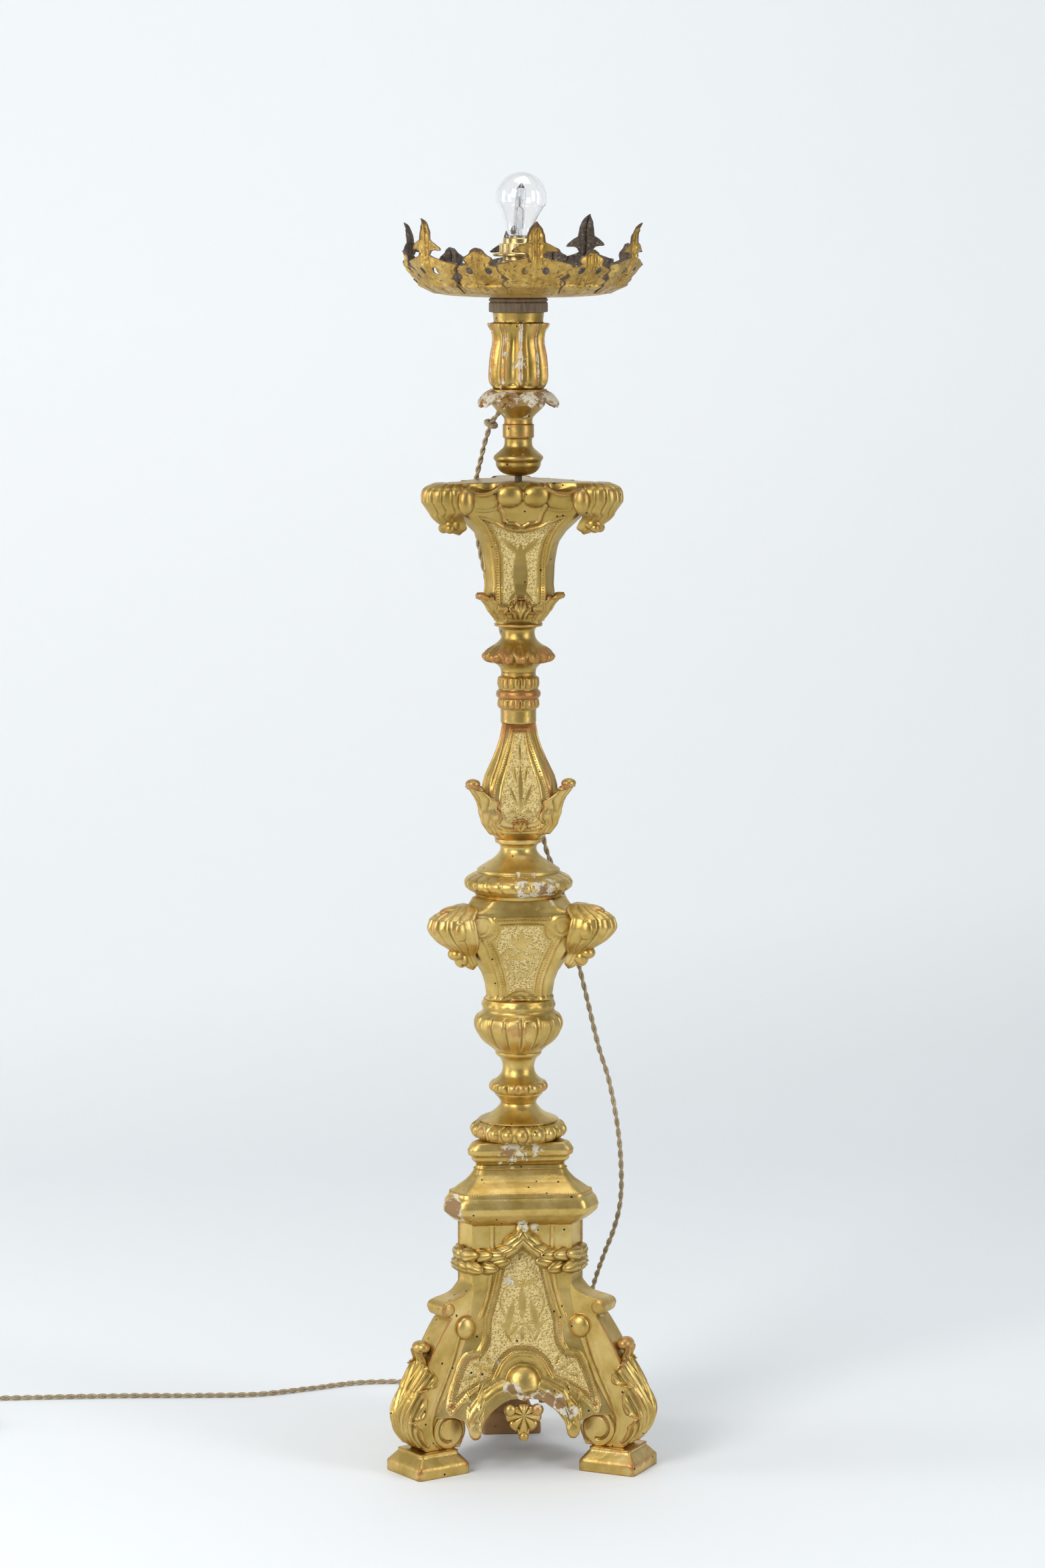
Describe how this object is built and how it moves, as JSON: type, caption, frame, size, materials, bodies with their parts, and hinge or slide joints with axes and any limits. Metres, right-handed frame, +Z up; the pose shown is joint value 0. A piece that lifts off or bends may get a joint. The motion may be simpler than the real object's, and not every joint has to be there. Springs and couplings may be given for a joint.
{
  "type": "torchere candle stand wired as a lamp",
  "caption": "Tall carved and gilt wooden candle stand on scroll legs, with a sheet-metal leaf crown, a brass lampholder with a clear bulb, and a twisted cord.",
  "frame": {"origin": "on the column's axis at floor level", "axes": "+Z up along the column; the front apron panel faces -Y; one scroll leg points to the back along +Y"},
  "size_m": [0.8529, 0.4674, 1.4186],
  "materials": {
    "gilt_wood": "burnished water gilding over red bole and gesso, worn",
    "bare_wood": "bare old wood",
    "dark_wood": "dark stained, dull",
    "iron": "blackened, dull",
    "gilt_sheet": "gilt sheet metal, rust specks",
    "brass": "satin, slightly dull",
    "insulator": "glazed",
    "nickel": "satin",
    "clear_glass": "clear, smooth",
    "frosted_capsule": "clear capsule with its support",
    "cord_fabric": "twisted fabric-covered strands",
    "tie_wire": "matte",
    "plug_plastic": "satin"
  },
  "bodies": {
    "stand": {"foot_right": "gilt_wood", "foot_back": "gilt_wood", "foot_left": "gilt_wood", "leg_right": "gilt_wood", "leg_back": "gilt_wood", "leg_left": "gilt_wood", "apron_front": "gilt_wood", "apron_right": "gilt_wood", "apron_left": "gilt_wood", "pendant_front": "gilt_wood", "pendant_right": "gilt_wood", "pendant_left": "gilt_wood", "leg_leaf_right": "gilt_wood", "leg_leaf_back": "gilt_wood", "leg_leaf_left": "gilt_wood", "base_core": "bare_wood", "garland": "gilt_wood", "ovolo_cap": "gilt_wood", "plinth": "gilt_wood", "egg_torus": "gilt_wood", "spool": "gilt_wood", "gadrooned_cup": "gilt_wood", "mid_vase": "gilt_wood", "mid_ear_right": "gilt_wood", "mid_ear_back": "gilt_wood", "mid_ear_left": "gilt_wood", "gadroon_ring": "gilt_wood", "pear": "gilt_wood", "pear_leaf_right": "gilt_wood", "pear_leaf_back": "gilt_wood", "pear_leaf_left": "gilt_wood", "reeded_collars": "gilt_wood", "leaf_ring": "gilt_wood", "upper_vase": "gilt_wood", "upper_ear_right": "gilt_wood", "upper_ear_back": "gilt_wood", "upper_ear_left": "gilt_wood", "iron_pin": "iron", "knop": "gilt_wood", "petal_flange": "gilt_wood", "candle_cup": "gilt_wood", "top_disc": "dark_wood", "drip_pan": "gilt_sheet", "tall_leaves": "gilt_sheet", "low_leaves": "gilt_sheet", "threaded_tube": "brass", "lock_nut": "brass", "holder_cap": "brass", "holder_shell": "brass", "holder_insert": "insulator", "cord_run": "cord_fabric", "cord_coil": "cord_fabric", "cord_tie": "tie_wire", "cord_knot": "cord_fabric", "plug_body": "plug_plastic", "plug_prongs": "nickel"},
    "bulb": {"bulb_cap": "nickel", "bulb_glass": "clear_glass", "bulb_capsule": "frosted_capsule"},
    "shade_ring": {"shade_ring": "brass"}
  },
  "joints": [
    {"name": "bulb_out", "type": "slide", "parent": "stand", "child": "bulb", "axis": [0, 0, 1], "range_m": [0, 0.07]},
    {"name": "ring_turn", "type": "hinge", "parent": "stand", "child": "shade_ring", "pos_m": [0, 0, 1.335], "axis": [0, 0, 1], "range_deg": [0, 360]}
  ]
}
